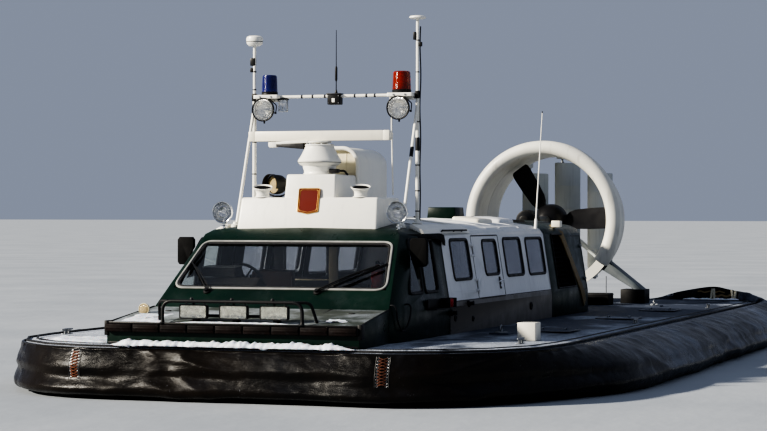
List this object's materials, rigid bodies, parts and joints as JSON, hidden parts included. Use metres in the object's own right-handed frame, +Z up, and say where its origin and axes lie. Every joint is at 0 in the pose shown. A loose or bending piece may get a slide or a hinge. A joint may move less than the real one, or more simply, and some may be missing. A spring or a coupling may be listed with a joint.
{
  "type": "light patrol hovercraft",
  "caption": "Parked air-cushion patrol craft with a cabin, light mast, radar, and a ducted propeller with rudders.",
  "frame": {"origin": "on the ground under the middle of the craft's length and beam", "axes": "+Z up, the bow towards -Y, port towards +X"},
  "size_m": [5.84, 11.9, 3.2974],
  "materials": {
    "hull_paint": "satin marine paint with frost",
    "skirt_rubber": "creased coated fabric",
    "green_paint": "satin",
    "white_paint": "satin",
    "black_trim": "matt",
    "cream_paint": "satin",
    "lamp_face": "clear lens over a reflector",
    "chrome": "polished",
    "window_glass": "clear",
    "blue_lens": "ribbed lens",
    "red_lens": "ribbed lens",
    "nav_port": "lens in a black screen",
    "nav_starboard": "lens in a black screen",
    "grey_paint": "satin",
    "engine_grey": "cast",
    "seat_cover": "vinyl cover"
  },
  "bodies": {
    "root": {"aft_glass_port": "window_glass", "aft_glass_starboard": "window_glass", "antenna_centre": "black_trim", "antenna_disc": "white_paint", "antenna_drum": "white_paint", "beacon_port": "red_lens", "beacon_starboard": "blue_lens", "belt_housing": "black_trim", "bench_port": "seat_cover", "bench_starboard": "seat_cover", "bow_box": "green_paint", "bow_fender": "black_trim", "bow_lamps": "lamp_face", "cab_front": "green_paint", "cab_glass_port": "window_glass", "cab_glass_starboard": "window_glass", "cabin_shell": "white_paint", "deck_box": "white_paint", "drive_cowling": "green_paint", "duct_leg_port": "grey_paint", "duct_leg_starboard": "grey_paint", "duct_lip": "cream_paint", "duct_ring": "grey_paint", "engine_bay": "green_paint", "engine_block": "engine_grey", "helm_console": "black_trim", "helm_seat": "seat_cover", "hull": "hull_paint", "intake_scoop": "white_paint", "lamp_guard": "black_trim", "light_mast": "white_paint", "mirror_port": "black_trim", "mirror_starboard": "black_trim", "nav_light_port": "nav_port", "nav_light_starboard": "nav_starboard", "radar_pedestal": "white_paint", "roof_box": "green_paint", "roof_cap": "white_paint", "roof_fairing": "white_paint", "roof_light_port": "chrome", "roof_light_starboard": "chrome", "skirt_bow": "skirt_rubber", "skirt_port": "skirt_rubber", "skirt_starboard": "skirt_rubber", "skirt_stern": "skirt_rubber", "spotlight_port": "chrome", "spotlight_starboard": "chrome", "vent_cowl_port": "white_paint", "vent_cowl_starboard": "white_paint", "whip_antenna": "white_paint", "windshield_glass": "window_glass"},
    "propeller": {"propeller": "black_trim"},
    "rudder_left": {"rudder_1": "grey_paint"},
    "rudder_middle": {"rudder_2": "grey_paint"},
    "rudder_right": {"rudder_3": "grey_paint"},
    "radar": {"radar_scanner": "white_paint"},
    "door_port": {"door_port": "white_paint", "door_glass_port": "window_glass"},
    "door_starboard": {"door_starboard": "white_paint", "door_glass_starboard": "window_glass"}
  },
  "joints": [
    {"name": "propeller_spin", "type": "hinge", "parent": "root", "child": "propeller", "pos_m": [0, 4.38, 1.462], "axis": [0, 1, 0], "continuous": true},
    {"name": "rudder_middle_swing", "type": "hinge", "parent": "root", "child": "rudder_middle", "pos_m": [0, 4.96, 1.462], "axis": [0, 0, 1], "range_deg": [-8, 52]},
    {"name": "rudder_left_swing", "type": "hinge", "parent": "root", "child": "rudder_left", "pos_m": [-0.423, 4.96, 1.462], "axis": [0, 0, 1], "range_deg": [-8, 52]},
    {"name": "rudder_right_swing", "type": "hinge", "parent": "root", "child": "rudder_right", "pos_m": [0.423, 4.96, 1.462], "axis": [0, 0, 1], "range_deg": [-8, 52]},
    {"name": "radar_turn", "type": "hinge", "parent": "root", "child": "radar", "pos_m": [0, -3.765, 2.142], "axis": [0, 0, 1], "continuous": true},
    {"name": "door_port_hinge", "type": "hinge", "parent": "root", "child": "door_port", "pos_m": [1.06396, -2.441, 1], "axis": [0.1568, 0, -0.9876], "range_deg": [0, 80]},
    {"name": "door_starboard_hinge", "type": "hinge", "parent": "root", "child": "door_starboard", "pos_m": [-1.06396, -2.441, 1], "axis": [0.1568, 0, 0.9876], "range_deg": [0, 80]}
  ],
  "couplings": [
    {"joint": "rudder_left_swing", "follows": "rudder_middle_swing", "ratio": 1},
    {"joint": "rudder_right_swing", "follows": "rudder_middle_swing", "ratio": 1}
  ]
}
